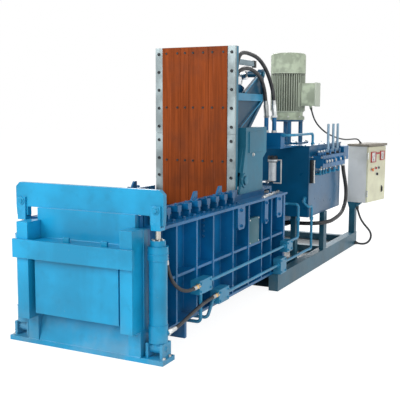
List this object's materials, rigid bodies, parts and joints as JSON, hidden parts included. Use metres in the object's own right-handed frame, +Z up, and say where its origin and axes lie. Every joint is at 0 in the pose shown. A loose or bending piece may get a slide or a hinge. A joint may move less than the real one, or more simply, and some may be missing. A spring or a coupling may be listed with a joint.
{
  "type": "scrap baling press",
  "caption": "Hydraulic scrap baling press: a charging box with a hinged shear lid, a lifting bale gate in front and an oil tank, motor and control cabinet behind.",
  "frame": {"origin": "on the ground under the centre of the gate's foot plate", "axes": "+Z up, +Y rearwards from the gate towards the power pack, +X to the right side of the machine seen from the gate"},
  "size_m": [1.418, 5.3683, 2.175],
  "materials": {
    "blue_paint": "satin",
    "dark_blue_paint": "satin",
    "steel": "worn",
    "chrome": "polished",
    "board": "painted and worn",
    "motor_paint": "matte",
    "cream_paint": "satin",
    "grey_green_paint": "matte",
    "bowl_plastic": "milky",
    "hose_rubber": "matte"
  },
  "bodies": {
    "machine": {"foot_plate": "dark_blue_paint", "front_sill": "blue_paint", "gate_post_right": "blue_paint", "gate_post_left": "blue_paint", "front_frame": "blue_paint", "cross_bar": "blue_paint", "gate_cylinder_right": "blue_paint", "gate_cylinder_left": "blue_paint", "cylinder_brackets": "dark_blue_paint", "box_floor": "dark_blue_paint", "box_side_right": "blue_paint", "box_side_left": "blue_paint", "rear_bulkhead": "blue_paint", "chamber_cover": "dark_blue_paint", "shear_rail_right": "blue_paint", "shear_rail_left": "blue_paint", "ram": "steel", "main_cylinder": "dark_blue_paint", "cheek_right": "blue_paint", "cheek_left": "blue_paint", "ram_housing_top": "dark_blue_paint", "skid": "dark_blue_paint", "oil_tank": "blue_paint", "tank_top": "blue_paint", "motor_stool": "dark_blue_paint", "motor": "motor_paint", "valve_bank": "blue_paint", "manifold": "blue_paint", "bridge_pipe": "blue_paint", "upper_side_pipe": "blue_paint", "lower_side_pipe": "blue_paint", "cabinet": "cream_paint", "cabinet_post": "dark_blue_paint", "drip_tray": "dark_blue_paint", "junction_box": "grey_green_paint", "filter_bowl": "bowl_plastic", "gate_hose_upper": "hose_rubber", "gate_hose_lower": "hose_rubber", "lid_hose_near": "hose_rubber", "lid_hose_far": "hose_rubber", "motor_cable": "hose_rubber", "valve_hose": "hose_rubber", "post_conduit": "hose_rubber"},
    "gate": {"door_plate": "blue_paint", "door_panel": "blue_paint", "yoke_beam": "blue_paint", "gate_rod_right": "chrome", "gate_rod_left": "chrome"},
    "lid": {"lid_frame": "blue_paint", "lid_knives": "steel", "lid_boards": "board", "lid_arms": "blue_paint"},
    "lid_cylinder": {"lid_cylinder": "dark_blue_paint"},
    "lid_rod": {"lid_rod": "chrome"},
    "lever_1": {"lever_1": "steel"},
    "lever_2": {"lever_2": "steel"},
    "lever_3": {"lever_3": "steel"},
    "cabinet_door": {"cabinet_door": "cream_paint"}
  },
  "joints": [
    {"name": "gate_slide", "type": "slide", "parent": "machine", "child": "gate", "axis": [0, 0, 1], "range_m": [0, 0.45]},
    {"name": "lid_hinge", "type": "hinge", "parent": "machine", "child": "lid", "pos_m": [0, 1.667, 1.015], "axis": [1, 0, 0], "range_deg": [0, 90]},
    {"name": "lid_cylinder_pivot", "type": "hinge", "parent": "machine", "child": "lid_cylinder", "pos_m": [0, 2.032, 1.12], "axis": [1, 0, 0], "range_deg": [0, 90.6]},
    {"name": "lid_rod_slide", "type": "slide", "parent": "lid_cylinder", "child": "lid_rod", "axis": [0, 0.5015, 0.8651], "range_m": [0, 0.54]},
    {"name": "lever_1_hinge", "type": "hinge", "parent": "machine", "child": "lever_1", "pos_m": [0.6, 3.352, 1.182], "axis": [1, 0, 0], "range_deg": [-15, 15], "stiffness_Nm_per_rad": 12},
    {"name": "lever_2_hinge", "type": "hinge", "parent": "machine", "child": "lever_2", "pos_m": [0.6, 3.526, 1.182], "axis": [1, 0, 0], "range_deg": [-15, 15], "stiffness_Nm_per_rad": 12},
    {"name": "lever_3_hinge", "type": "hinge", "parent": "machine", "child": "lever_3", "pos_m": [0.6, 3.684, 1.182], "axis": [1, 0, 0], "range_deg": [-15, 15], "stiffness_Nm_per_rad": 12},
    {"name": "cabinet_door_hinge", "type": "hinge", "parent": "machine", "child": "cabinet_door", "pos_m": [0.7, 4.622, 0.84], "axis": [0, 0, -1], "range_deg": [0, 110]}
  ],
  "couplings": [
    {"joint": "lid_cylinder_pivot", "follows": "lid_hinge", "ratio": 1.0047},
    {"joint": "lid_rod_slide", "follows": "lid_hinge", "m_per_rad": 0.3419}
  ]
}
